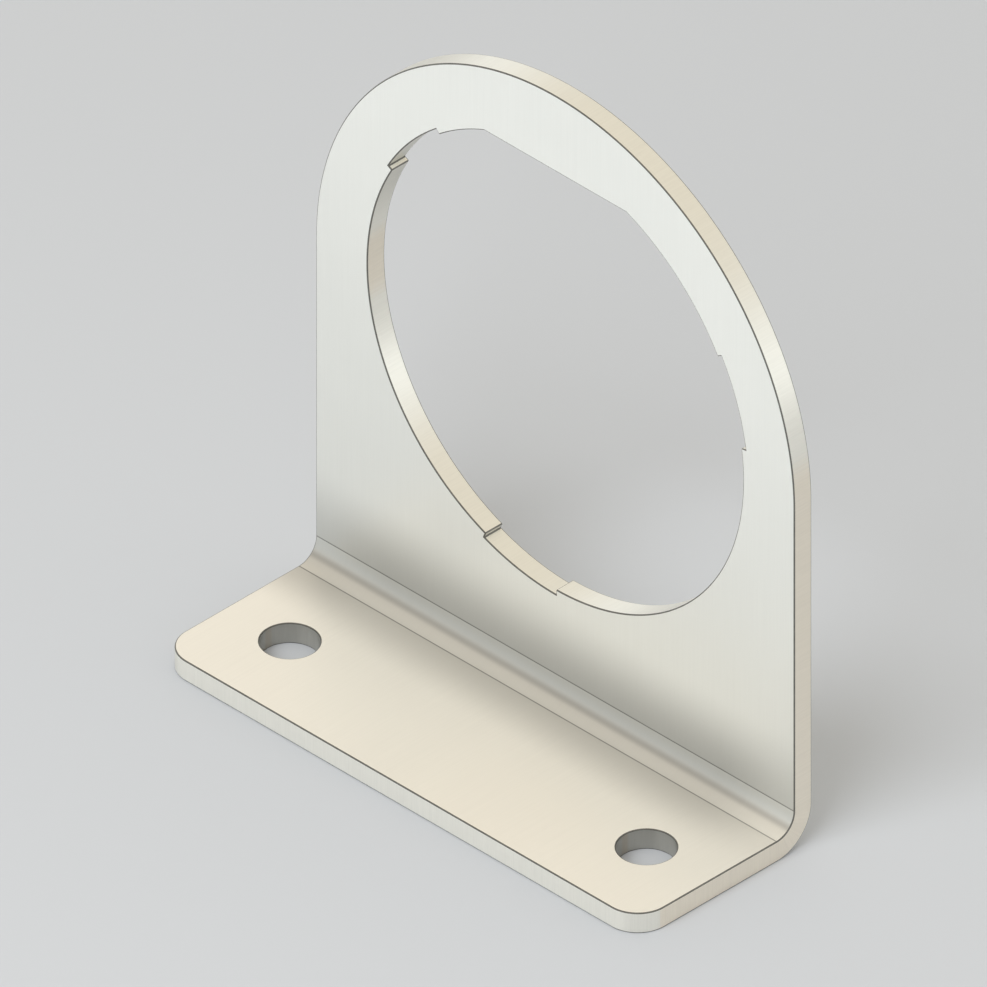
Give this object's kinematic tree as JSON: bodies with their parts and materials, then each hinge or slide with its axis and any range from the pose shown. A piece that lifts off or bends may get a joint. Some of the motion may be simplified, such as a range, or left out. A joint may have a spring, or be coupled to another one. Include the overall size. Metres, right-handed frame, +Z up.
{
  "type": "connector mounting bracket",
  "caption": "Folded sheet-metal L bracket: a round-topped upright with a keyed round cut-out for a connector, on a foot with round fixing holes.",
  "frame": {"origin": "midway between the two foot holes, on the underside of the foot", "axes": "+X along the bend, +Y from the foot's front edge towards the upright, +Z up the upright"},
  "size_m": [0.055, 0.02, 0.0615],
  "materials": {
    "sheet_metal": "satin, with sheared edges"
  },
  "bodies": {
    "root": {"bracket": "sheet_metal"}
  },
  "joints": []
}
